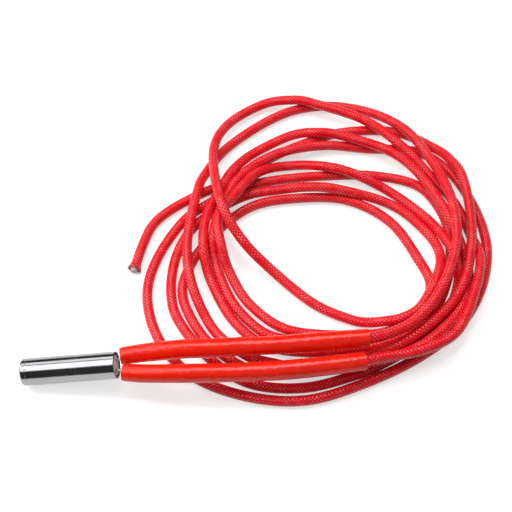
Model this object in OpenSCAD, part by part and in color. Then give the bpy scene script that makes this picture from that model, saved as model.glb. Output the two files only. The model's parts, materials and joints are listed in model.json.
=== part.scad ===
// Cartridge heater with two sleeved, braided leads, lying on a bench as a loose coil.
// Millimetres. The origin is the centre of the sheath's open rim. X runs towards the leads and Z is up.
// The tip of the heater touches the bench and the rim is held up by the sleeves, so the sheath tilts.

/* [Heater] */
// outside diameter of the steel sheath
sheath_diameter = 6; // [5.8:0.1:6.4]
// length of the sheath tube, from the rim to the welded cap
sheath_length = 20; // [17:0.5:30]
// wall of the sheath tube
sheath_wall = 0.45; // [0.35:0.05:0.55]
// length of the cap that shows beyond the tube
cap_length = 1.4; // [1.1:0.1:1.8]
// radius of the cap's outer edge
cap_edge = 0.9; // [0.4:0.1:1]
// depth of the cap's spigot in the tube
cap_spigot = 0.8; // [0.5:0.1:1.5]
// thickness of the insulating wafer behind the cap
wafer_thickness = 0.6; // [0.4:0.1:1]
// length of the cement plug at the rim
seal_length = 3; // [2:0.5:5]
// depth of the cement below the rim
seal_recess = 0.2; // [0.1:0.1:0.8]
// thickness of the heating wire
wire_diameter = 0.25; // [0.2:0.05:0.3]
// pitch of the winding
wire_pitch = 1.1; // [0.8:0.1:2]
// thickness of a connecting pin
pin_diameter = 0.6; // [0.4:0.1:0.7]
// ceramic left between a pin's hole and the outside of the core
pin_wall = 0.2; // [0.1:0.05:0.3]

/* [Sleeves] */
// outside diameter of a sleeve
sleeve_diameter = 4.2; // [4:0.1:4.4]
// outside diameter of a sleeve where it is pinched at the rim
sleeve_mouth = 3.6; // [3.5:0.05:3.8]
// wall of a sleeve
sleeve_wall = 0.7; // [0.6:0.05:0.75]
// outside diameter of the crimp barrel in a sleeve
crimp_diameter = 1.9; // [1.6:0.1:2.2]

/* [Leads] */
// outside diameter of a braided lead
lead_diameter = 2.4; // [2:0.1:2.4]
// diameter of the insulation under the braid
insulation_diameter = 1.6; // [1.2:0.1:1.8]
// diameter of the stranded conductor
conductor_diameter = 0.8; // [0.6:0.1:0.9]
// insulation that shows beyond the cut braid
insulation_shows = 0.8; // [0.3:0.1:2]
// conductor that shows beyond the cut insulation
conductor_shows = 0.6; // [0.3:0.1:2]

/* [Hidden] */
$fn = 96;
slide_gap = 0.05;
rim_height = 6.6;
sheath_radius = sheath_diameter / 2;
bore_radius = sheath_radius - sheath_wall;
filling_radius = bore_radius - slide_gap;
overall_length = sheath_length + cap_length;
weld_land = 0.1;
edge_radius = min(cap_edge, cap_length - weld_land);

// The tilt at which the cap's lower edge meets the bench, with the rim at its height.
tip_reach = overall_length - edge_radius;
tip_drop = sheath_radius - edge_radius;
tilt = asin((rim_height - edge_radius) / norm([tip_reach, tip_drop])) - atan2(tip_drop, tip_reach);

// Stations inside the sheath, measured along its axis from the rim.
spigot_top = cap_spigot - sheath_length;
wafer_top = spigot_top + wafer_thickness;
seal_top = -seal_recess;
seal_bottom = seal_top - seal_length;
core_length = seal_bottom - wafer_top;

// Radii inside the sheath, from the wall inwards.
fill_wall = 0.25;
fill_inner = filling_radius - fill_wall;
winding_radius = fill_inner - slide_gap - wire_diameter / 2;
wire_sides = 6;
wire_steps = 14;
core_radius = (winding_radius - wire_diameter / 2) * cos(180 / wire_steps) - slide_gap;
pin_hole_radius = pin_diameter / 2 + slide_gap;
pin_offset = core_radius - pin_hole_radius - pin_wall;
pin_depth = core_length * 0.85;
pin_knee = 0.3;
pin_bend_radius = pin_diameter / 2 + 0.03;
winding_margin = 1;

// Sweeps along the sleeves and the leads.
sleeve_sides = 12;
sleeve_rings = 15;
lead_sides = 8;
lead_rings = 130;
mouth_share = 0.25;
pin_share = 0.45;
crimp_from = 0.2;
crimp_to = 0.85;
conductor_from = 0.55;
conductor_to = 0.98;
crimp_bore = max(pin_diameter, conductor_diameter) + 2 * slide_gap;

// A sleeve's point is x, y and the height of the lead's underside over the rim's centre.
sleeve_upper_points = [
    [0.8, pin_offset + 0.65, -0.8], [3.5, 2.3, -0.6], [7, 2.7, -0.4], [14, 3.2, 0.1], [21, 3.4, 0.3],
    [27, 3.7, 0.4], [36, 4.2, 0.3], [46, 5.2, 0], [55, 6.1, -0.4]
];
sleeve_lower_points = [
    [1.6, -pin_offset - 0.5, -1], [3.5, -2.1, -0.7], [7, -2.4, -0.4], [14, -2.6, 0.1], [19, -2.6, 0.3],
    [25, -2.5, 0.4], [36, -1.9, 0.3], [46, -0.7, 0], [54, 0.6, -0.4]
];
sleeve_upper_route = [for (p = sleeve_upper_points) p + [0, 0, rim_height]];
sleeve_lower_route = [for (p = sleeve_lower_points) p + [0, 0, rim_height]];
lead_start = 3;

// A loose lead's point is x, y and the height of the lead's underside over the bench.

// The upper lead: over the top of the coil first, and four turns on to its end under the sleeves.
upper_loose_route = [
    [60, 7.8, 5.5], [66, 11.4, 5], [72, 19, 5], [76.5, 31, 5], [76.5, 43, 4.6],
    [73, 55.5, 2.5], [66, 66, 2.5], [54, 73.5, 0], [39, 72.5, 0], [24.2, 62.3, 0],
    [17.8, 52, 1.7], [16.2, 46.5, 2.6], [15, 40, 2.5], [14.2, 31, 2.5], [15.8, 21, 2.2], [20.7, 11.2, 0],
    [28, 4.3, 1.4], [34, 1.8, 2.4], [40, 0.8, 2.5], [51, 1.2, 2.2], [62, 3.8, 2.5],
    [70, 8.2, 2.5], [77, 16.5, 1.2], [79.6, 26, 0], [77.4, 35, 2.2], [74.5, 43, 2.5],
    [69, 53, 2.2], [62.5, 58.8, 2.5], [52, 63, 2.5], [46, 64.2, 2.5], [39, 64.3, 1], [30, 59.5, 0.5],
    [25, 53.5, 2.3], [22, 48, 2.5], [18.6, 40, 2.5], [18, 31.5, 2.5], [19.8, 24, 0], [24.8, 14, 0],
    [32, 7.5, 0], [42, 5.6, 0], [53, 6.4, 0], [63, 9.2, 0], [70.3, 15.2, 0],
    [74.5, 24, 0], [75.9, 33, 0], [74.8, 42, 0], [69.5, 50, 0], [59, 53, 0],
    [47, 53, 0], [35, 51.7, 0], [26, 49.3, 0], [19, 45, 0], [13, 40, 0],
    [7.3, 30, 0], [5.3, 20, 0], [8.3, 9, 0], [16, 0, 0], [28, -5, 0],
    [41, -6, 0], [54, -2, 0], [67, 4.6, 0], [76.5, 12.5, 0], [82.2, 22, 0],
    [84.5, 33, 0], [82.5, 44, 0], [77.5, 54, 0], [70, 60, 0], [58, 61, 0],
    [47, 61.3, 1], [36, 58, 2.5], [27.2, 52, 2.5], [22.4, 43.5, 2.5], [20.3, 35, 2.5],
    [21, 28, 0], [25, 18, 0], [31.5, 10.8, 0], [38, 8.4, 0]
];

// The lower lead: up the outside, across the middle of the coil, and on to the end that lies free.
lower_loose_route = [
    [58, 1.8, 5.5], [67, 4, 4.8], [75, 9, 4], [80, 19.5, 3.2], [82.3, 29, 2],
    [81, 36, 0], [78, 45, 0], [73, 52, 0.5], [66, 60, 2.5], [57, 68, 2.5],
    [45, 73, 2.5], [39.5, 74.4, 2.2], [32, 74.2, 0.6], [23.3, 67.7, 1], [19.9, 58, 3], [22, 41, 7.7],
    [27, 32, 5], [35, 25, 1], [44, 17.5, 0], [53, 13.4, 0], [60, 12.6, 1.8],
    [64.5, 13.6, 2.5], [68, 16.5, 2.5], [72, 24, 2.5], [73, 31, 1.2], [69.8, 38, 0], [62, 45, 0],
    [50, 47.5, 2.4], [43, 48.2, 2.4], [36, 48.6, 0.6], [28, 47.3, 0], [20, 42.5, 0], [14.5, 37, 0],
    [11.3, 29, 0], [10.8, 20, 0], [13, 13, 0], [20, 4, 0], [29, -2, 0],
    [41, -3, 0], [53, 0.3, 0], [59, 3.1, 0], [66, 7.4, 0], [72.5, 12.8, 0],
    [76.6, 21.8, 0], [76.8, 27, 2.1], [75.3, 32, 2.5], [71, 40, 0.8], [63, 48, 0],
    [54, 52, 2.3], [47, 54.2, 2.3], [39, 56, 0], [31, 52.5, 2.4], [25.5, 45, 4.5],
    [21.5, 38, 5], [22.2, 31, 4], [24.4, 25, 1], [29, 17.5, 0], [37, 11.4, 0],
    [49, 9.8, 0], [60, 10.8, 0], [67, 16, 0], [70.5, 22.5, 0], [68, 30, 0],
    [62, 40, 0], [52, 46, 0], [40, 46.5, 0], [29, 44, 0], [20, 36, 0],
    [14.6, 27, 0], [13.6, 19, 0], [18.8, 8.9, 0], [27, 2.2, 0], [34, 0.6, 0],
    [40, 1.8, 0], [46, 3, 0], [52, 3.8, 0], [58, 5.2, 1.3], [65, 8.2, 2.5],
    [73, 15, 2.5], [77.7, 22, 2.6], [80.2, 31, 3], [81, 41, 2.5], [80, 51, 2.5],
    [78, 56, 1.8], [74.5, 60.8, 0.3], [65, 66, 0], [52, 66, 0], [41, 62, 0], [31, 56.5, 0],
    [24, 51.3, 0], [16.6, 47.6, 0], [9.6, 43, 0], [5.7, 38.8, 0], [3.5, 33, 0], [2, 27, 0]
];

steel = [0.72, 0.73, 0.75];
cement = [0.93, 0.91, 0.86];
silicone = [0.86, 0.2, 0.08];
braid = [0.75, 0.1, 0.13];
copper = [0.72, 0.52, 0.4];
nickel = [0.66, 0.65, 0.62];
magnesia = [0.85, 0.84, 0.8];
alloy = [0.45, 0.44, 0.43];

// Routes and rings.

function unit(v) = v / norm(v);

function mix(a, b, share) = a + (b - a) * share;

// A point on the smooth curve through four neighbours, between the second and the third.
function curve_point(a, b, c, d, u) =
    0.5 * (2 * b + (c - a) * u + (2 * a - 5 * b + 4 * c - d) * u * u + (3 * b - 3 * c + d - a) * u * u * u);

function clamp_index(i, count) = max(0, min(count - 1, i));

function at_route(route, t) =
    let (count = len(route), i = min(floor(t), count - 2))
    curve_point(
        route[clamp_index(i - 1, count)], route[i], route[i + 1], route[clamp_index(i + 2, count)], t - i
    );

// Heights of the underside become heights of the centreline, never below the bench.
function centreline(p) = [p[0], p[1], max(p[2], 0) + lead_diameter / 2 - rim_height];

function sweep_path(route, rings) =
    [for (k = [0 : rings - 1]) centreline(at_route(route, k * (len(route) - 1) / (rings - 1)))];

function heading(path, k) = unit(path[min(k + 1, len(path) - 1)] - path[max(k - 1, 0)]);

function ring_point(centre, ahead, radius, angle) =
    let (side = unit(cross(ahead, [0, 0, 1])), over = cross(side, ahead))
    centre + radius * (cos(angle) * side + sin(angle) * over);

function ring(path, k, radius, sides) =
    [for (j = [0 : sides - 1]) ring_point(path[k], heading(path, k), radius, 360 * j / sides)];

// Walls between ring a and ring b, where each ring is the number of its first point.
function wall_faces(a, b, sides) =
    [for (j = [0 : sides - 1], half = [0, 1])
        let (n = (j + 1) % sides)
        half == 0 ? [a + j, b + j, b + n] : [a + j, b + n, a + n]];

lead_upper_route = concat(
    [for (i = [lead_start : len(sleeve_upper_route) - 1]) sleeve_upper_route[i]], upper_loose_route
);
lead_lower_route = concat(
    [for (i = [lead_start : len(sleeve_lower_route) - 1]) sleeve_lower_route[i]], lower_loose_route
);

// Places along a sleeve, between the two route points that hold the crimp.
function crimp_place(route, share) =
    centreline(mix(route[lead_start - 1], route[lead_start], share));

// Shared forms.

module along_heater() {
    rotate([0, 90 - tilt, 0]) children();
}

module rod(from, to, radius) {
    span = to - from;
    translate(from)
        rotate([0, acos(span[2] / norm(span)), atan2(span[1], span[0])])
            cylinder(h = norm(span), r = radius);
}

module at_pins() {
    for (side = [-1, 1]) translate([0, side * pin_offset, 0]) children();
}

module cord(path, radius, sides) {
    count = len(path);
    points = [for (k = [0 : count - 1], p = ring(path, k, radius, sides)) p];
    walls = [for (k = [0 : count - 2], f = wall_faces(k * sides, (k + 1) * sides, sides)) f];
    start = [for (j = [0 : sides - 1]) j];
    finish = [for (j = [sides - 1 : -1 : 0]) (count - 1) * sides + j];
    polyhedron(points, concat(walls, [start, finish]));
}

// A hollow sleeve whose bore follows its outside, closed by a flat ring at each end.
module hollow_sleeve(route) {
    path = sweep_path(route, sleeve_rings);
    count = sleeve_rings;
    sides = sleeve_sides;
    radii = [for (k = [0 : count - 1])
        mix(sleeve_mouth, sleeve_diameter, min(1, k / ((count - 1) * mouth_share))) / 2];
    outer = [for (k = [0 : count - 1], p = ring(path, k, radii[k], sides)) p];
    inner = [for (k = [0 : count - 1], p = ring(path, k, radii[k] - sleeve_wall, sides)) p];
    bore = count * sides;
    last = (count - 1) * sides;
    outside = [for (k = [0 : count - 2], f = wall_faces(k * sides, (k + 1) * sides, sides)) f];
    inside = [for (k = [0 : count - 2], f = wall_faces(bore + (k + 1) * sides, bore + k * sides, sides)) f];
    mouth = wall_faces(bore, 0, sides);
    far_end = wall_faces(last, bore + last, sides);
    polyhedron(concat(outer, inner), concat(outside, inside, mouth, far_end));
}

// The pin runs straight out of the core, then leans over to the middle of its sleeve.
module pin(side, route) {
    knee_y = side * pin_offset;
    knee = [pin_knee * cos(tilt), knee_y, pin_knee * sin(tilt)];
    along_heater()
        translate([0, knee_y, seal_bottom - pin_depth])
            cylinder(h = pin_knee - seal_bottom + pin_depth, r = pin_diameter / 2);
    translate(knee) sphere(r = pin_bend_radius);
    rod(knee, crimp_place(route, pin_share), pin_diameter / 2);
}

// A barrel with one bore, for the pin from one end and the conductor from the other.
module crimp(route) {
    difference() {
        rod(crimp_place(route, crimp_from), crimp_place(route, crimp_to), crimp_diameter / 2);
        rod(crimp_place(route, 0), crimp_place(route, 1), crimp_bore / 2);
    }
}

module cut_end(route, from, length, radius) {
    path = sweep_path(route, lead_rings);
    tip = path[lead_rings - 1];
    ahead = heading(path, lead_rings - 1);
    rod(tip + ahead * from, tip + ahead * (from + length), radius);
}

// Sub-parts.

module sheath() {
    color(steel) along_heater() translate([0, 0, -sheath_length]) difference() {
        cylinder(h = sheath_length, r = sheath_radius);
        translate([0, 0, -sheath_length]) cylinder(h = 3 * sheath_length, r = bore_radius);
    }
}

module end_cap() {
    color(steel) along_heater() {
        translate([0, 0, -overall_length]) rotate_extrude() {
            translate([0, edge_radius]) square([sheath_radius, cap_length - edge_radius]);
            square([sheath_radius - edge_radius, cap_length]);
            intersection() {
                translate([sheath_radius - edge_radius, edge_radius]) circle(r = edge_radius);
                square([sheath_radius, cap_length]);
            }
        }
        translate([0, 0, -sheath_length]) cylinder(h = cap_spigot, r = filling_radius);
    }
}

module tip_wafer() {
    color(magnesia) along_heater()
        translate([0, 0, spigot_top]) cylinder(h = wafer_thickness, r = filling_radius);
}

module ceramic_core() {
    color(magnesia) along_heater() translate([0, 0, wafer_top]) difference() {
        cylinder(h = core_length, r = core_radius);
        at_pins() translate([0, 0, -core_length]) cylinder(h = 3 * core_length, r = pin_hole_radius);
    }
}

// The winding is one helix, from a little above the wafer to a little below the cement.
module heating_wire() {
    height = core_length - 2 * winding_margin;
    turns = height / wire_pitch;
    steps = ceil(turns * wire_steps);
    slope = atan2(wire_pitch, 360 * winding_radius * PI / 180);
    start = wafer_top + winding_margin;
    points = [for (k = [0 : steps], j = [0 : wire_sides - 1])
        let (
            around = 360 * turns * k / steps,
            across = 360 * j / wire_sides,
            out = winding_radius + wire_diameter / 2 * cos(across),
            lean = wire_diameter / 2 * sin(across)
        )
        [
            out * cos(around) + lean * sin(slope) * sin(around),
            out * sin(around) - lean * sin(slope) * cos(around),
            start + height * k / steps + lean * cos(slope)
        ]];
    walls = [for (k = [0 : steps - 1], f = wall_faces(k * wire_sides, (k + 1) * wire_sides, wire_sides)) f];
    first = [for (j = [0 : wire_sides - 1]) j];
    last = [for (j = [wire_sides - 1 : -1 : 0]) steps * wire_sides + j];
    color(alloy) along_heater() polyhedron(points, concat(walls, [first, last]));
}

module magnesia_fill() {
    color(magnesia) along_heater() translate([0, 0, wafer_top]) difference() {
        cylinder(h = core_length, r = filling_radius);
        translate([0, 0, -core_length]) cylinder(h = 3 * core_length, r = fill_inner);
    }
}

module end_seal() {
    color(cement) along_heater() translate([0, 0, seal_bottom]) difference() {
        cylinder(h = seal_length, r = filling_radius);
        at_pins() translate([0, 0, -seal_length]) cylinder(h = 3 * seal_length, r = pin_hole_radius);
    }
}

module pin_upper() {
    color(nickel) pin(1, sleeve_upper_route);
}

module pin_lower() {
    color(nickel) pin(-1, sleeve_lower_route);
}

module crimp_upper() {
    color(nickel) crimp(sleeve_upper_route);
}

module crimp_lower() {
    color(nickel) crimp(sleeve_lower_route);
}

module conductor_upper() {
    color(copper)
        rod(
            crimp_place(sleeve_upper_route, conductor_from),
            crimp_place(sleeve_upper_route, conductor_to),
            conductor_diameter / 2
        );
}

module conductor_lower() {
    color(copper)
        rod(
            crimp_place(sleeve_lower_route, conductor_from),
            crimp_place(sleeve_lower_route, conductor_to),
            conductor_diameter / 2
        );
}

module sleeve_upper() {
    color(silicone) hollow_sleeve(sleeve_upper_route);
}

module sleeve_lower() {
    color(silicone) hollow_sleeve(sleeve_lower_route);
}

module lead_upper() {
    color(braid) cord(sweep_path(lead_upper_route, lead_rings), lead_diameter / 2, lead_sides);
}

module lead_lower() {
    color(braid) cord(sweep_path(lead_lower_route, lead_rings), lead_diameter / 2, lead_sides);
}

module insulation_upper() {
    color(cement) cut_end(lead_upper_route, 0, insulation_shows, insulation_diameter / 2);
}

module insulation_lower() {
    color(cement) cut_end(lead_lower_route, 0, insulation_shows, insulation_diameter / 2);
}

module strands_upper() {
    color(copper) cut_end(lead_upper_route, insulation_shows, conductor_shows, conductor_diameter / 2);
}

module strands_lower() {
    color(copper) cut_end(lead_lower_route, insulation_shows, conductor_shows, conductor_diameter / 2);
}

sheath();
end_cap();
tip_wafer();
ceramic_core();
heating_wire();
magnesia_fill();
end_seal();
pin_upper();
pin_lower();
crimp_upper();
crimp_lower();
conductor_upper();
conductor_lower();
sleeve_upper();
sleeve_lower();
lead_upper();
lead_lower();
insulation_upper();
insulation_lower();
strands_upper();
strands_lower();
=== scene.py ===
"""Looks for a small cartridge heater with two sleeved, braided leads that lie in a loose coil."""

import json
import math

import bpy
import numpy as np
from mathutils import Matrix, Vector


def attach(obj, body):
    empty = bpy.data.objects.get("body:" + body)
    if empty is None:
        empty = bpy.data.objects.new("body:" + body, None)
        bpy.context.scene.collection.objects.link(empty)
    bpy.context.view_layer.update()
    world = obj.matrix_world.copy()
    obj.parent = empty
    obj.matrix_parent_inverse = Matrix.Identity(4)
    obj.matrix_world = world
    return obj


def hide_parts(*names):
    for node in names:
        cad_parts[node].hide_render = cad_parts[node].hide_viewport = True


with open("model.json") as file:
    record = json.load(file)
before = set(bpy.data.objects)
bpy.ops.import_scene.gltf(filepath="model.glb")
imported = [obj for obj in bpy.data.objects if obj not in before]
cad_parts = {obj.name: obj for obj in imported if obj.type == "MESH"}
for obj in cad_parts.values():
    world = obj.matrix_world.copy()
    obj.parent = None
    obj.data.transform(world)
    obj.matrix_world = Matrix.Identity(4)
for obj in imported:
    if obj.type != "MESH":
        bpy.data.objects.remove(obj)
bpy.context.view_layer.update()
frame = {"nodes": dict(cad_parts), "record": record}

# The sheath is a thin steel tube, drawn, centreless ground and polished. It is the
# outside of the heater, and slides into a drilled hole. Grinding leaves fine hoops on it.
# Its open end face and bore are painted dark and dull, as painted shade in the gap round the plug.
MM = 0.001
sheath_mount = frame["record"]["mounts"][0]
along = -Vector(sheath_mount["axis"]).normalized()
across = Vector((0, 1, 0))
upward = along.cross(across)
sheath_radius = sheath_mount["dims"]["r_mm"]
sheath_length = sheath_mount["dims"]["length_mm"]
sheath_wall = 0.45
rim_round = 0.1
weld_half = 0.05
weld_depth = 0.03
lathe_sides = 160
sheath_bands = 12
sheath_color = (0.38, 0.38, 0.39, 1)
grinding_dark = (0.33, 0.33, 0.34, 1)
# Dark, dull metal for the open end face and bore: painted shade for the gap round the plug.
end_painted_shade_dark = (0.10, 0.09, 0.09, 1)
end_painted_shade_brown = (0.22, 0.20, 0.19, 1)


class Value:
    """A value in a material's node tree. Sums and products of values add Math nodes."""

    def __init__(self, tree, socket=None):
        self.tree = tree
        self.socket = socket

    def make(self, kind, settings, sockets, output=0):
        """Adds a node of any kind: its settings first, then its sockets' values or links."""
        node = self.tree.nodes.new(kind)
        for name, setting in settings.items():
            setattr(node, name, setting)
        for name, value in sockets.items():
            if isinstance(value, Value):
                self.tree.links.new(value.socket, node.inputs[name])
            else:
                node.inputs[name].default_value = value
        return Value(self.tree, node.outputs[output] if node.outputs else None)

    def math(self, operation, *others):
        """A Math node on this value and others."""
        values = dict(enumerate((self, *others)))
        return self.make("ShaderNodeMath", {"operation": operation}, values)

    def mix(self, low, high):
        """A colour from low to high as this value goes from 0 to 1."""
        return self.make("ShaderNodeMix", {"data_type": "RGBA"}, {0: self, 6: low, 7: high}, 2)

    def between(self, low, high):
        """0 below low, 1 above high, and smooth between them."""
        limits = {"Value": self, "From Min": low, "From Max": high}
        return self.make("ShaderNodeMapRange", {"interpolation_type": "SMOOTHSTEP"}, limits)

    def noise(self, scale, detail):
        """Random patches from 0 to 1 over this place, smaller as the scale goes up."""
        sockets = {"Vector": self, "Scale": scale, "Detail": detail}
        return self.make("ShaderNodeTexNoise", {}, sockets)

    def bump(self, strength, distance):
        """The surface's direction where this height tilts it."""
        sockets = {"Strength": strength, "Distance": distance, "Height": self}
        return self.make("ShaderNodeBump", {}, sockets)

    def __add__(self, other):
        return self.math("ADD", other)

    def __radd__(self, other):
        return self.math("ADD", other)

    def __sub__(self, other):
        return self.math("SUBTRACT", other)

    def __rsub__(self, other):
        return self.make("ShaderNodeMath", {"operation": "SUBTRACT"}, {0: other, 1: self})

    def __mul__(self, other):
        return self.math("MULTIPLY", other)

    def __rmul__(self, other):
        return self.math("MULTIPLY", other)


def new_material(name):
    """An empty material, and the Value that its nodes start from."""
    material = bpy.data.materials.new(name)
    material.use_nodes = True
    material.node_tree.nodes.clear()
    return material, Value(material.node_tree)


def surface(start, sockets):
    """Ends a material in a Principled shader with these sockets."""
    shader = start.make("ShaderNodeBsdfPrincipled", {}, sockets)
    start.make("ShaderNodeOutputMaterial", {}, {"Surface": shader})


def along_heater(start):
    """The point on the piece, and its distance along the heater's axis in millimetres."""
    point = start.make("ShaderNodeTexCoord", {}, {}, "Object")
    lengthwise = start.make("ShaderNodeVectorMath", {"operation": "DOT_PRODUCT"},
                            {0: point, 1: along / MM}, "Value")
    return point, lengthwise


def mesh_object(name, points, faces, material, sharp=35):
    """A smooth-shaded piece on the one body, with sharp edges above an angle."""
    mesh = bpy.data.meshes.new(name)
    mesh.from_pydata(points, [], faces)
    mesh.validate()
    mesh.polygons.foreach_set("use_smooth", [True] * len(mesh.polygons))
    mesh.set_sharp_from_angle(angle=math.radians(sharp))
    mesh.materials.append(material)
    piece = bpy.data.objects.new(name, mesh)
    bpy.context.scene.collection.objects.link(piece)
    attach(piece, "root")
    return piece


def ring_faces(rings, sides, closed):
    """Quads between rings of points, where closed joins the last ring to the first."""
    steps = rings if closed else rings - 1
    return [
        (k * sides + j, k * sides + (j + 1) % sides,
         (k + 1) % rings * sides + (j + 1) % sides, (k + 1) % rings * sides + j)
        for k in range(steps) for j in range(sides)
    ]


def heater_point(station, radius, angle):
    """A point at a station along the heater's axis, both in millimetres, turned about it."""
    out = across * math.cos(angle) + upward * math.sin(angle)
    return (along * station + out * radius) * MM


def turned(name, outline, material, closed, sharp=35):
    """A piece turned about the heater's axis from an outline of stations and radii."""
    turns = [2 * math.pi * j / lathe_sides for j in range(lathe_sides)]
    points = [heater_point(x, r, a) for x, r in outline for a in turns]
    faces = ring_faces(len(outline), lathe_sides, closed)
    if not closed:
        last = (len(outline) - 1) * lathe_sides
        faces.append(tuple(reversed(range(lathe_sides))))
        faces.append(tuple(range(last, last + lathe_sides)))
    return mesh_object(name, points, faces, material, sharp)


def arc(centre_x, centre_r, radius, start, end, steps=8):
    """Outline points on a round edge, from one angle to another in degrees."""
    angles = [math.radians(start + (end - start) * i / steps) for i in range(steps + 1)]
    return [(centre_x + radius * math.cos(a), centre_r + radius * math.sin(a)) for a in angles]


steel, start = new_material("ground_steel")
point, lengthwise = along_heater(start)
hoops = start.make("ShaderNodeTexNoise", {"noise_dimensions": "1D"},
                   {"W": lengthwise * 9, "Scale": 1.0, "Detail": 5.0, "Roughness": 0.7})
smudge = point.noise(260.0, 3.0)
scratch = point.noise(2600.0, 2.0)
shade = (hoops * 0.6 + smudge * 0.4).between(0.35, 0.65)
bump = (hoops * 0.7 + scratch * 0.5).bump(0.12, 0.00001)
surface(start, {
    "Base Color": shade.mix(grinding_dark, sheath_color),
    "Metallic": 1.0,
    "Roughness": smudge * 0.1 + hoops * 0.08 + 0.06,
    "Normal": bump,
})
sheath_bore = sheath_radius - sheath_wall
sheath_outline = [(0, sheath_bore), *arc(-rim_round, sheath_radius - rim_round, rim_round, 0, 90)]
sheath_outline += [(-rim_round - weld_half, sheath_radius)]
sheath_outline += [(-sheath_length * k / sheath_bands, sheath_radius) for k in range(1, sheath_bands)]
sheath_outline += [
    (-sheath_length + 2 * weld_half, sheath_radius),
    (-sheath_length + weld_half, sheath_radius),
    (-sheath_length, sheath_radius - weld_depth),
    (-sheath_length, sheath_bore),
]
sheath = turned("steel_sheath", sheath_outline, steel, closed=True)
# The end face and bore get a dark, dull metal with random brown patches: painted shade where the gap
# round the plug lies in shadow.
shaded_end_metal, start = new_material("painted_shade_steel_end")
point = start.make("ShaderNodeTexCoord", {}, {}, "Object")
scale = point.noise(1400.0, 3.0)
surface(start, {
    "Base Color": scale.between(0.35, 0.65).mix(end_painted_shade_dark, end_painted_shade_brown),
    "Metallic": 1.0,
    "Roughness": scale * 0.2 + 0.4,
})
sheath.data.materials.append(shaded_end_metal)
for polygon in sheath.data.polygons:
    ring = polygon.index // lathe_sides
    polygon.material_index = int(ring == 0 or ring == len(sheath_outline) - 1)
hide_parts("sheath")

# The cap is a steel disc pressed into the tube's end and welded round its edge, then
# ground with the tube, so that only a hair line shows where they meet.
cap_length = 1.3
cap_edge = 0.5
cap_centre = 0.3
dish_radius = sheath_radius * 0.45
dish_rim = 0.01
dish_depth = 0.03
cap_end = -sheath_length - cap_length
cap_outline = [
    (-sheath_length, cap_centre),
    (-sheath_length, sheath_radius - weld_depth),
    (-sheath_length - weld_half, sheath_radius),
    (-sheath_length - 2 * weld_half, sheath_radius),
    (cap_end + cap_edge + weld_half, sheath_radius),
]
cap_outline += arc(cap_end + cap_edge, sheath_radius - cap_edge, cap_edge, 90, 180, 12)
cap_outline += [(cap_end + dish_rim, dish_radius), (cap_end + dish_depth, cap_centre)]
cap = turned("welded_cap", cap_outline, steel, closed=False, sharp=50)
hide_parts("end_cap")

# The cement plug is poured into the open end as a paste and set. It holds the pins and
# keeps moisture out. Its face is rough, with small pits, and shrinks from the tube's wall.
cement_pale = (0.88, 0.93, 0.96, 1)
cement_grey = (0.76, 0.79, 0.82, 1)
seal_face = -0.15
seal_back = -3.2
seal_gap = 0.05
seal_radius = sheath_bore - seal_gap
seal_centre = 0.2
seal_rings = 19
ring_share = 20
shrunk = 0.6
shrunk_span = 32
shrunk_steepness = 100
lump_height = 0.02
cement, start = new_material("set_cement")
point = start.make("ShaderNodeTexCoord", {}, {}, "Object")
grains = point.noise(3000.0, 4.0)
pits = start.make("ShaderNodeTexVoronoi", {}, {"Vector": point, "Scale": 1900.0}, "Distance")
stain = point.noise(700.0, 2.0)
bump = (grains * 0.6 + pits).bump(0.6, 0.0001)
surface(start, {
    "Base Color": (stain * 0.7 + grains * 0.3).between(0.3, 0.55).mix(cement_grey, cement_pale),
    "Roughness": grains * 0.2 + 0.7,
    "Normal": bump,
})
seal_outline = [(seal_back, seal_centre), (seal_back, seal_radius)]
for k in range(seal_rings):
    drop = shrunk * math.cos(math.pi * k / shrunk_span) ** shrunk_steepness
    seal_outline.append((seal_face - drop, seal_radius * (1 - k / ring_share)))
seal = turned("cement_plug", seal_outline, cement, closed=False, sharp=60)
lumps = np.random.default_rng(4)
for vertex in seal.data.vertices[2 * lathe_sides:]:
    vertex.co += along * float(lumps.normal(0, lump_height)) * MM
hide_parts("end_seal")

# Inside the sheath a pressed magnesia core carries the winding, a wafer keeps the core
# off the cap, and magnesia powder, vibrated in and swaged hard, fills the rest.
magnesia_pale = (0.80, 0.78, 0.73, 1)
magnesia_warm = (0.66, 0.62, 0.55, 1)


def finish_solid(name, material):
    """Gives one of the frame's own solids its material."""
    solid = frame["nodes"][name]
    solid.data.materials.clear()
    solid.data.materials.append(material)


magnesia, start = new_material("pressed_magnesia")
point, lengthwise = along_heater(start)
powder = point.noise(4200.0, 5.0)
lengths = start.make("ShaderNodeTexNoise", {"noise_dimensions": "1D"}, {"W": lengthwise * 0.8})
bump = powder.bump(0.35, 0.00004)
surface(start, {
    "Base Color": (powder * 0.6 + lengths * 0.4).between(0.35, 0.65).mix(magnesia_warm, magnesia_pale),
    "Roughness": powder * 0.15 + 0.75,
    "Normal": bump,
})
for name in ("ceramic_core", "tip_wafer", "magnesia_fill"):
    finish_solid(name, magnesia)

# The winding is nickel-chromium wire with the grey-brown skin that it gets from its
# first firing. The pins and crimps are nickel, drawn bright.
wire_grey = (0.20, 0.19, 0.18, 1)
wire_brown = (0.31, 0.24, 0.19, 1)
nickel_bright = (0.60, 0.57, 0.52, 1)
nickel_brown = (0.36, 0.26, 0.18, 1)


def drawn_wire(name, dark, bright, roughness):
    """Drawn metal wire: a fine tooth and patches of heat tint."""
    material, start = new_material(name)
    point = start.make("ShaderNodeTexCoord", {}, {}, "Object")
    tint = point.noise(900.0, 3.0)
    tooth = point.noise(6000.0, 2.0)
    bump = tooth.bump(0.2, 0.00002)
    surface(start, {
        "Base Color": tint.between(0.35, 0.65).mix(dark, bright),
        "Metallic": 1.0,
        "Roughness": tooth * 0.2 + roughness,
        "Normal": bump,
    })
    return material


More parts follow.
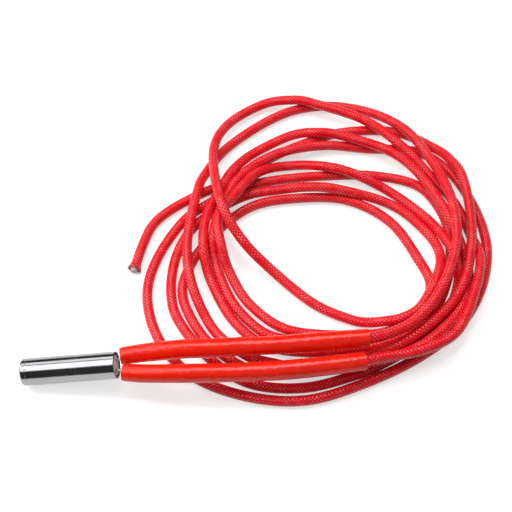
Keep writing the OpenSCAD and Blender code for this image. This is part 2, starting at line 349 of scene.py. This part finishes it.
winding_finish = drawn_wire("fired_wire", wire_grey, wire_brown, 0.4)
nickel = drawn_wire("drawn_nickel", nickel_brown, nickel_bright, 0.2)
finish_solid("heating_wire", winding_finish)
for name in ("pin_upper", "pin_lower", "crimp_upper", "crimp_lower"):
    finish_solid(name, nickel)

# The leads are nickel-plated copper strand in silicone, in a red glass-fibre braid that is
# varnished to lie flat. They leave the crimps inside the sleeves and lie in loose loops.
# A route's point is x, y and the height of the lead's underside over the bench.
rim_height = 6.6
lead_diameter = 2.4
lead_ring_step = 0.22
lead_sides = 24
braid_pitch = 4 * lead_ring_step
braid_yarns = 8
braid_depth = 0.06
sleeve_routes = {
    "upper": [
        (0.8, 1.95, 5.8), (3.5, 2.3, 6), (7, 2.7, 6.2), (14, 3.2, 6.7), (21, 3.4, 6.9),
        (27, 3.7, 7), (36, 4.2, 6.9), (46, 5.2, 6.6), (55, 6.1, 6.2),
    ],
    "lower": [
        (1.6, -1.8, 5.6), (3.5, -2.1, 5.9), (7, -2.4, 6.2), (14, -2.6, 6.7), (19, -2.6, 6.9),
        (25, -2.5, 7), (36, -1.9, 6.9), (46, -0.7, 6.6), (54, 0.6, 6.2),
    ],
}
lead_start = 3
loose_routes = {
    "upper": [
        (60, 7.8, 5.5), (66, 11.4, 5), (72, 19, 5), (76.5, 31, 5), (76.5, 43, 4.6),
        (73, 55.5, 2.5), (66, 66, 2.5), (54, 73.5, 0), (39, 72.5, 0), (24.2, 62.3, 0),
        (17.8, 52, 1.7), (16.2, 46.5, 2.6), (15, 40, 2.5), (14.2, 31, 2.5), (15.8, 21, 2.2),
        (20.7, 11.2, 0),
        (28, 4.3, 1.4), (34, 1.8, 2.4), (40, 0.8, 2.5), (51, 1.2, 2.2), (62, 3.8, 2.5),
        (70, 8.2, 2.5), (77, 16.5, 1.2), (79.6, 26, 0), (77.4, 35, 2.2), (74.5, 43, 2.5),
        (69, 53, 2.2), (62.5, 58.8, 2.5), (52, 63, 2.5), (46, 64.2, 2.5), (39, 64.3, 1), (30, 59.5, 0.5),
        (25, 53.5, 2.3), (22, 48, 2.5), (18.6, 40, 2.5), (18, 31.5, 2.5), (19.8, 24, 0), (24.8, 14, 0),
        (32, 7.5, 0), (42, 5.6, 0), (53, 6.4, 0), (63, 9.2, 0), (70.3, 15.2, 0),
        (74.5, 24, 0), (75.9, 33, 0), (74.8, 42, 0), (69.5, 50, 0), (59, 53, 0),
        (47, 53, 0), (35, 51.7, 0), (26, 49.3, 0), (19, 45, 0), (13, 40, 0),
        (7.3, 30, 0), (5.3, 20, 0), (8.3, 9, 0), (16, 0, 0), (28, -5, 0),
        (41, -6, 0), (54, -2, 0), (67, 4.6, 0), (76.5, 12.5, 0), (82.2, 22, 0),
        (84.5, 33, 0), (82.5, 44, 0), (77.5, 54, 0), (70, 60, 0), (58, 61, 0),
        (47, 61.3, 1), (36, 58, 2.5), (27.2, 52, 2.5), (22.4, 43.5, 2.5), (20.3, 35, 2.5),
        (21, 28, 0), (25, 18, 0), (31.5, 10.8, 0), (38, 8.4, 0),
    ],
    "lower": [
        (58, 1.8, 5.5), (67, 4, 4.8), (75, 9, 4), (80, 19.5, 3.2), (82.3, 29, 2),
        (81, 36, 0), (78, 45, 0), (73, 52, 0.5), (66, 60, 2.5), (57, 68, 2.5),
        (45, 73, 2.5), (39.5, 74.4, 2.2), (32, 74.2, 0.6), (23.3, 67.7, 1), (19.9, 58, 3), (22, 41, 7.7),
        (27, 32, 5), (35, 25, 1), (44, 17.5, 0), (53, 13.4, 0), (60, 12.6, 1.8),
        (64.5, 13.6, 2.5), (68, 16.5, 2.5), (72, 24, 2.5), (73, 31, 1.2), (69.8, 38, 0), (62, 45, 0),
        (50, 47.5, 2.4), (43, 48.2, 2.4), (36, 48.6, 0.6), (28, 47.3, 0), (20, 42.5, 0), (14.5, 37, 0),
        (11.3, 29, 0), (10.8, 20, 0), (13, 13, 0), (20, 4, 0), (29, -2, 0),
        (41, -3, 0), (53, 0.3, 0), (59, 3.1, 0), (66, 7.4, 0), (72.5, 12.8, 0),
        (76.6, 21.8, 0), (76.8, 27, 2.1), (75.3, 32, 2.5), (71, 40, 0.8), (63, 48, 0),
        (54, 52, 2.3), (47, 54.2, 2.3), (39, 56, 0), (31, 52.5, 2.4), (25.5, 45, 4.5),
        (21.5, 38, 5), (22.2, 31, 4), (24.4, 25, 1), (29, 17.5, 0), (37, 11.4, 0),
        (49, 9.8, 0), (60, 10.8, 0), (67, 16, 0), (70.5, 22.5, 0), (68, 30, 0),
        (62, 40, 0), (52, 46, 0), (40, 46.5, 0), (29, 44, 0), (20, 36, 0),
        (14.6, 27, 0), (13.6, 19, 0), (18.8, 8.9, 0), (27, 2.2, 0), (34, 0.6, 0),
        (40, 1.8, 0), (46, 3, 0), (52, 3.8, 0), (58, 5.2, 1.3), (65, 8.2, 2.5),
        (73, 15, 2.5), (77.7, 22, 2.6), (80.2, 31, 3), (81, 41, 2.5), (80, 51, 2.5),
        (78, 56, 1.8), (74.5, 60.8, 0.3), (65, 66, 0), (52, 66, 0), (41, 62, 0), (31, 56.5, 0),
        (24, 51.3, 0), (16.6, 47.6, 0), (9.6, 43, 0), (5.7, 38.8, 0), (3.5, 33, 0), (2, 27, 0),
    ],
}


def smooth_route(points, step):
    """Evenly spaced centres on the smooth curve through a route's points, in millimetres."""
    points = np.array(points, float)
    count = len(points)
    fine = []
    for i in range(count - 1):
        a, b = points[max(i - 1, 0)], points[i]
        c, d = points[i + 1], points[min(i + 2, count - 1)]
        for u in np.linspace(0, 1, 40, endpoint=False):
            fine.append(0.5 * (2 * b + (c - a) * u + (2 * a - 5 * b + 4 * c - d) * u ** 2
                               + (3 * b - 3 * c + d - a) * u ** 3))
    fine = np.array([*fine, points[-1]])
    fine[:, 2] = np.maximum(fine[:, 2], 0) + lead_diameter / 2 - rim_height
    travel = np.concatenate([[0], np.cumsum(np.linalg.norm(np.diff(fine, axis=0), axis=1))])
    stations = np.linspace(0, travel[-1], max(2, round(travel[-1] / step) + 1))
    centres = np.stack([np.interp(stations, travel, fine[:, k]) for k in range(3)], axis=1)
    return centres, stations


def cross_axes(centres):
    """For each centre, the way ahead, and the sideways and upward axes across it."""
    ahead = np.gradient(centres, axis=0)
    ahead /= np.linalg.norm(ahead, axis=1, keepdims=True)
    side = np.cross(ahead, (0, 0, 1))
    side /= np.linalg.norm(side, axis=1, keepdims=True)
    return ahead, side, np.cross(side, ahead)


def rings_along(centres, radii, sides):
    """Points of the rings round a line of centres, radii being one per ring or per point."""
    ahead, side, over = cross_axes(centres)
    turn = 2 * np.pi * np.arange(sides) / sides
    out = side[:, None, :] * np.cos(turn)[None, :, None] + over[:, None, :] * np.sin(turn)[None, :, None]
    return centres[:, None, :] + out * np.broadcast_to(radii, (len(centres), sides))[:, :, None]


def braid_height(lengthwise, around):
    """The braid's relief from 0 to 1: two sets of yarns that pass over and under in turn."""
    left = lengthwise / braid_pitch + around
    right = lengthwise / braid_pitch - around
    left_on_top = (np.floor(left) + np.floor(right)) % 2 == 0
    left_crown = np.cos(np.pi * (left % 1 - 0.5))
    right_crown = np.cos(np.pi * (right % 1 - 0.5))
    crown = np.where(left_on_top, left_crown, right_crown)
    length_crown = np.where(left_on_top, right_crown, left_crown)
    return crown ** 0.6 * (0.6 + 0.4 * length_crown)


# The braid's red is a lit copy on the yarn crowns and a darker copy in the grooves: painted shade in the
# grooves.
braid_lit_crown_red = (0.90, 0.008, 0.019, 1)
braid_groove_painted_shade = (0.64, 0.004, 0.011, 1)
# A pale pink for dots on the yarn crowns: painted glints.
braid_glint_paint = (0.96, 0.43, 0.43, 1)
braid, start = new_material("varnished_braid")
place = start.make("ShaderNodeUVMap", {"uv_map": "braid"}, {})
pitch_count = start.make("ShaderNodeSeparateXYZ", {}, {"Vector": place}, "X")
yarn_count = start.make("ShaderNodeSeparateXYZ", {}, {"Vector": place}, "Y")
left = pitch_count + yarn_count
right = pitch_count - yarn_count
turn_about = (left.math("FLOOR") + right.math("FLOOR")).math("FLOORED_MODULO", 2.0)
left_crown = (left.math("FRACT") * math.pi).math("SINE")
right_crown = (right.math("FRACT") * math.pi).math("SINE")
crown = left_crown * (1 - turn_about) + right_crown * turn_about
length_crown = right_crown * (1 - turn_about) + left_crown * turn_about
relief = crown * (length_crown * 0.4 + 0.6)
across_yarn = left * (1 - turn_about) + right * turn_about
along_yarn = right * (1 - turn_about) + left * turn_about
yarn_place = start.make("ShaderNodeCombineXYZ", {}, {
    0: across_yarn * 7, 1: along_yarn * 0.9, 2: turn_about * 9})
filaments = yarn_place.noise(1.0, 3.0)
point = start.make("ShaderNodeTexCoord", {}, {}, "Object")
patches = point.noise(160.0, 3.0)
glint_patches = point.noise(420.0, 1.0)
# Pale dots on the yarn crowns, in random patches: painted glints.
crown_glint_dots = crown.between(0.8, 1.0) * length_crown.between(0.55, 1.0)
painted_glints = crown_glint_dots * glint_patches.between(0.34, 0.76) * 0.56
# Darker in the grooves between yarns: painted shade, mixed with random tone from the filaments and
# patches.
painted_groove_shade_and_tone = (relief * 0.75 + filaments * 0.25 + patches * 0.35 - 0.15).between(0.1, 0.75)
body_color = painted_groove_shade_and_tone.mix(braid_groove_painted_shade, braid_lit_crown_red)
bump = (relief + filaments * 0.08).bump(0.7, 0.0001)
surface(start, {
    "Base Color": painted_glints.mix(body_color, braid_glint_paint),
    "Roughness": filaments * 0.12 + patches * 0.06 + 0.06,
    "Specular IOR Level": 0.32,
    "Normal": bump,
})
lead_paths = {}
flare_length = 2.2
flares = {"upper": 0.0, "lower": 0.38}
cut_edge_steps = ((0.05, 0.86), (0.5, 0.7))
for name, loose in loose_routes.items():
    route = sleeve_routes[name][lead_start:] + loose
    centres, travel = smooth_route(route, lead_ring_step)
    lead_paths[name] = centres
    around = braid_yarns * np.arange(lead_sides) / lead_sides
    relief_mm = braid_depth * (braid_height(travel[:, None], around[None, :]) - 1)
    open_out = np.clip((travel - travel[-1] + flare_length) / flare_length, 0, 1) ** 2 * flares[name]
    radii = (lead_diameter / 2 + relief_mm) * (1 + open_out[:, None])
    points = rings_along(centres, radii, lead_sides).reshape(-1, 3)
    points[:, 2] = np.maximum(points[:, 2], -rim_height)
    rings = len(centres)
    faces = ring_faces(rings, lead_sides, closed=False)
    faces.append(tuple(reversed(range(lead_sides))))
    ahead = cross_axes(centres)[0][-1]
    for back, share in cut_edge_steps:
        inner = rings_along(centres[-2:], lead_diameter / 2 * share, lead_sides)[-1] - ahead * back
        points = np.concatenate([points, inner])
        rings += 1
    edge_rings = 1 + len(cut_edge_steps)
    first = (rings - edge_rings) * lead_sides
    faces += [tuple(first + i for i in face) for face in ring_faces(edge_rings, lead_sides, closed=False)]
    faces.append(tuple(range((rings - 1) * lead_sides, rings * lead_sides)))
    lead = mesh_object("braided_lead_" + name, (points * MM).tolist(), faces, braid, sharp=70)
    # The map counts pitches along the lead and yarns round it. The faces that close a ring
    # count on past its last yarn.
    uv = lead.data.uv_layers.new(name="braid")
    corners = np.zeros(len(lead.data.loops), np.int64)
    lead.data.loops.foreach_get("vertex_index", corners)
    ring_of, side_of = corners // lead_sides, corners % lead_sides
    starts = np.array([p.loop_start for p in lead.data.polygons])
    counts = np.array([p.loop_total for p in lead.data.polygons])
    face_of = np.repeat(np.arange(len(starts)), counts)
    last_side = np.zeros(len(starts), bool)
    np.logical_or.at(last_side, face_of, side_of == lead_sides - 1)
    wraps = last_side[face_of] & (counts[face_of] == 4) & (side_of == 0)
    ring_travel = np.append(travel, [travel[-1], travel[-1]])
    coords = np.stack([ring_travel[ring_of] / braid_pitch,
                       (side_of + lead_sides * wraps) * braid_yarns / lead_sides], axis=1)
    uv.data.foreach_set("uv", coords.astype(np.float32).ravel())
    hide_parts("lead_" + name)

# Each lead ends in a plain cut. The braid frays there into loose glass filaments, round the
# pale silicone and the twisted strand inside it. One end lies free and spreads. The strands
# round the other hold it shut.
silicone_pale = (0.84, 0.70, 0.71, 1)
silicone_shade = (0.66, 0.45, 0.47, 1)
strand_bright = (0.42, 0.34, 0.32, 1)
strand_dark = (0.16, 0.11, 0.11, 1)
filament_red = (0.32, 0.02, 0.06, 1)
filament_pale = (0.66, 0.30, 0.36, 1)
insulation_shows = 0.7
insulation_radius = 0.8
strand_shows = 0.25
strand_bundle = 0.4
strand_wire = 0.125
strand_count = 7
strand_points = 6
strand_lap = 0.3
strand_twist = 0.9
strand_stagger = 0.03
stub_shape = (
    (-0.6, 1),
    (0, 1),
    (0.6 * insulation_shows, 1),
    (0.93 * insulation_shows, 0.98),
    (insulation_shows, 0.9),
)
filament_count = 48
filament_spreads = {"upper": 0.2, "lower": 1.0}
filament_root = 0.3
filament_lift = 0.04
filament_radii = [0.045, 0.045, 0.04, 0.02]
filament_seeds = {"upper": 11, "lower": 12}
insulation_finish, start = new_material("cut_silicone")
point = start.make("ShaderNodeTexCoord", {}, {}, "Object")
cloudy = point.noise(2500.0, 4.0)
bump = cloudy.bump(0.3, 0.00005)
surface(start, {
    "Base Color": cloudy.between(0.35, 0.65).mix(silicone_shade, silicone_pale),
    "Roughness": cloudy * 0.2 + 0.45,
    "Normal": bump,
})
strand_finish = drawn_wire("plated_strand", strand_dark, strand_bright, 0.25)
fibre_finish, start = new_material("loose_glass_filament")
point = start.make("ShaderNodeTexCoord", {}, {}, "Object")
dye = point.noise(1800.0, 2.0)
surface(start, {
    "Base Color": dye.between(0.4, 0.6).mix(filament_red, filament_pale),
    "Roughness": dye * 0.2 + 0.25,
})


def rods(name, lines, radii, sides, material):
    """Several thin tapered rods as one piece, each along its own line of centres."""
    points, faces = [], []
    for line, radius in zip(lines, radii):
        base = len(points)
        rings = rings_along(np.array(line), np.array(radius)[:, None], sides)
        points += (rings.reshape(-1, 3) * MM).tolist()
        quads = ring_faces(len(line), sides, closed=False)
        last = (len(line) - 1) * sides
        ends = [tuple(reversed(range(sides))), tuple(range(last, last + sides))]
        faces += [tuple(base + i for i in f) for f in quads + ends]
    return mesh_object(name, points, faces, material, sharp=50)


for name, centres in lead_paths.items():
    chance = np.random.default_rng(filament_seeds[name])
    tip = centres[-1]
    ahead, side, over = (axes[-1] for axes in cross_axes(centres))
    stub = [tip + ahead * station for station, share in stub_shape]
    stub_radii = [insulation_radius * share for station, share in stub_shape]
    jacket = rods("insulation_end_" + name, [stub], [stub_radii], 24, insulation_finish)
    strands = []
    for i in range(strand_count):
        reach = 0 if i == 0 else strand_bundle - strand_wire
        turn = 2 * math.pi * i / (strand_count - 1)
        strand_length = strand_shows + strand_lap - strand_stagger * (i % 3)
        strands.append([
            tip + ahead * (insulation_shows - strand_lap + x) + reach * (
                side * math.cos(turn + strand_twist * x) + over * math.sin(turn + strand_twist * x))
            for x in np.linspace(0, strand_length, strand_points)
        ])
    wire_radii = [[strand_wire] * strand_points] * strand_count
    wires = rods("strand_end_" + name, strands, wire_radii, 10, strand_finish)
    fibres = []
    for i in range(filament_count):
        turn = 2 * math.pi * (i + chance.uniform(-0.4, 0.4)) / filament_count
        out = side * math.cos(turn) + over * math.sin(turn)
        long = chance.uniform(0.2, 0.75)
        splay = chance.uniform(-0.1, 0.35) * filament_spreads[name]
        bend = chance.uniform(-0.2, 0.2) * np.cross(ahead, out)
        root = tip - ahead * filament_root + out * lead_diameter / 2 * (1 + flares[name] * 0.7)
        run = ahead * (filament_root + long)
        curl = out * splay + bend
        line = [root + run * t + curl * t * t for t in (0, 0.35, 0.7, 1)]
        fibres.append([np.array((x, y, max(z, filament_lift - rim_height))) for x, y, z in line])
    fibre_radii = [filament_radii] * filament_count
    fray = rods("frayed_braid_" + name, fibres, fibre_radii, 5, fibre_finish)
    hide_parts("insulation_" + name)
    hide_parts("strands_" + name)
    finish_solid("conductor_" + name, strand_finish)

# The sleeves are glass-fibre sleeving coated with orange-red silicone. They are pushed over
# the crimps up to the plug, and pinch in a little there. Their cut ends show pale glass.
sleeve_diameter = 4.2
sleeve_mouth = 3.7
sleeve_wall = 0.7
mouth_share = 0.25
sleeve_sides = 64
sleeve_step = 0.35
long_hollow = 0.02
short_hollow = 0.008
hollow_starts = {"upper": 0.4, "lower": 2.3}
sleeve_red = (0.91, 0.016, 0.002, 1)
sleeve_deep = (0.80, 0.009, 0.001, 1)
cut_glass = (0.80, 0.70, 0.66, 1)
sleeving, start = new_material("coated_sleeving")
point = start.make("ShaderNodeTexCoord", {}, {}, "Object")
cloud = point.noise(120.0, 3.0)
skin = point.noise(1500.0, 3.0)
weave = start.make("ShaderNodeTexVoronoi", {}, {"Vector": point, "Scale": 900.0}, "Distance")
bump = (skin * 0.3 + weave * 0.7 + cloud * 0.6).bump(0.6, 0.00015)
surface(start, {
    "Base Color": (cloud * 0.7 + skin * 0.3).between(0.3, 0.6).mix(sleeve_deep, sleeve_red),
    "Roughness": skin * 0.08 + cloud * 0.1 + 0.1,
    "Specular IOR Level": 0.42,
    "Normal": bump,
})
cut_end, start = new_material("cut_sleeving")
point = start.make("ShaderNodeTexCoord", {}, {}, "Object")
ends = point.noise(5000.0, 2.0)
bump = ends.bump(0.5, 0.00005)
surface(start, {
    "Base Color": ends.between(0.35, 0.6).mix(sleeve_red, cut_glass),
    "Roughness": ends * 0.2 + 0.6,
    "Normal": bump,
})
for name, route in sleeve_routes.items():
    centres, travel = smooth_route(route, sleeve_step)
    opened = np.clip(travel / (travel[-1] * mouth_share), 0, 1)
    outside = (sleeve_mouth + (sleeve_diameter - sleeve_mouth) * np.sqrt(opened)) / 2
    turn = 2 * np.pi * np.arange(sleeve_sides) / sleeve_sides
    wander = hollow_starts[name]
    hollow = np.sin(travel / 7 + wander) * long_hollow + np.sin(travel / 3.1 + wander) * short_hollow
    oval = 1 + hollow[:, None] * np.cos(2 * turn + travel[:, None] / 30)
    outer = rings_along(centres, outside[:, None] * oval, sleeve_sides)
    inner = rings_along(centres, outside[:, None] * oval - sleeve_wall, sleeve_sides)[::-1]
    points = np.concatenate([outer, inner]).reshape(-1, 3)
    rings = 2 * len(centres)
    sleeve = mesh_object("silicone_sleeve_" + name, (points * MM).tolist(),
                         ring_faces(rings, sleeve_sides, closed=True), sleeving, sharp=50)
    sleeve.data.materials.append(cut_end)
    for polygon in sleeve.data.polygons:
        ring = polygon.index // sleeve_sides
        polygon.material_index = int(ring in (len(centres) - 1, rings - 1))
    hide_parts("sleeve_" + name)

# The bench is a plain sheet of white card under the part. A little light of its own, more
# of it far from the part, keeps it white to the eye and in the steel, and the part's
# shadow stays on it.
bench = -rim_height * MM
card_half = 1.5
card_white = (0.60, 0.60, 0.60, 1)
card_shade = (0.57, 0.57, 0.57, 1)
card_glow = (0.58, 0.58, 0.58, 1)
far_glow = (0.95, 0.95, 0.95, 1)
floor_mesh = bpy.data.meshes.new("floor")
card_corners = [
    (-card_half, -card_half, bench),
    (card_half, -card_half, bench),
    (card_half, card_half, bench),
    (-card_half, card_half, bench),
]
floor_mesh.from_pydata(card_corners, [], [(0, 1, 2, 3)])
floor = bpy.data.objects.new("floor", floor_mesh)
bpy.context.scene.collection.objects.link(floor)
card, start = new_material("white_card")
point = start.make("ShaderNodeTexCoord", {}, {}, "Object")
tooth = point.noise(900.0, 2.0)
reach = start.make("ShaderNodeVectorMath", {"operation": "LENGTH"}, {0: point}, "Value")
glow = reach.between(0.15, 0.7).mix(card_glow, far_glow)
viewed = start.make("ShaderNodeLightPath", {}, {}, "Is Camera Ray")
mirrored = start.make("ShaderNodeLightPath", {}, {}, "Is Glossy Ray")
through = start.make("ShaderNodeLightPath", {}, {}, "Is Transmission Ray")
seen = viewed.math("MAXIMUM", mirrored).math("MAXIMUM", through)
surface(start, {
    "Base Color": tooth.mix(card_shade, card_white),
    "Roughness": 0.9,
    "Specular IOR Level": 0.1,
    "Emission Color": seen.mix((0, 0, 0, 1), glow),
    "Emission Strength": 1.0,
})
floor_mesh.materials.append(card)

# The light is three broad soft boxes overhead, with the gap between two of them that the
# steel shows as a grey line, a small key lamp and three lower ones on the left that draw
# glints along the braid, and a room that is bright above and to the right.
room_strength = 0.32
room_dark = (0.18, 0.18, 0.185, 1)
room_bright = (1.0, 1.0, 1.0, 1)
world = bpy.data.worlds.new("room")
bpy.context.scene.world = world
world.use_nodes = True
world.node_tree.nodes.clear()
start = Value(world.node_tree)
sky = start.make("ShaderNodeTexCoord", {}, {}, "Generated")
rightward = start.make("ShaderNodeSeparateXYZ", {}, {"Vector": sky}, "X")
height = start.make("ShaderNodeSeparateXYZ", {}, {"Vector": sky}, "Z")
room = (rightward * 0.8 + height * 0.5).between(0.1, 0.6).mix(room_dark, room_bright)
lit = start.make("ShaderNodeBackground", {}, {"Color": room, "Strength": room_strength})
start.make("ShaderNodeOutputWorld", {}, {"Surface": lit})


def soft_box(name, place, aim, wide, deep, power):
    """A rectangular area lamp that looks at a point."""
    data = bpy.data.lights.new(name, "AREA")
    data.shape = "RECTANGLE"
    data.size = wide
    data.size_y = deep
    data.energy = power
    lamp = bpy.data.objects.new(name, data)
    lamp.location = place
    lamp.rotation_euler = (Vector(aim) - Vector(place)).to_track_quat("-Z", "Y").to_euler()
    bpy.context.scene.collection.objects.link(lamp)


soft_box("overhead_left", (-0.4, 0.045, 0.62), (-0.4, 0.045, 0), 0.5, 0.57, 2.4)
soft_box("key", (-0.55, 0.2, 0.6), (0.03, 0.03, bench), 0.06, 0.06, 1.3)
soft_box("overhead_right", (0.05, 0.25, 0.62), (0.05, 0.25, 0), 0.36, 0.4, 2.1)
soft_box("overhead_back", (-0.42, 0.715, 0.62), (-0.42, 0.715, 0), 0.5, 0.53, 1.7)
for number, place_y in enumerate((-0.14, 0.1, 0.34)):
    soft_box("low_left_%d" % number, (-0.62, place_y, 0.22), (0.03, 0.03, bench), 0.05, 0.05, 0.45)

# The camera looks down at the bench from the front, a forearm's length away, through a
# lens that just takes in the whole coil.
target = Vector((0.03026, 0.03117, bench))
distance = 0.28
elevation = math.radians(60)
camera_data = bpy.data.cameras.new("camera")
camera_data.sensor_width = 36
camera_data.lens = 83.7
camera_data.clip_start = 0.01
camera = bpy.data.objects.new("camera", camera_data)
camera.location = target + Vector((0, -math.cos(elevation), math.sin(elevation))) * distance
camera.rotation_euler = (math.radians(90) - elevation, 0, 0)
bpy.context.scene.collection.objects.link(camera)
bpy.context.scene.camera = camera
bpy.context.scene.view_settings.view_transform = "Standard"
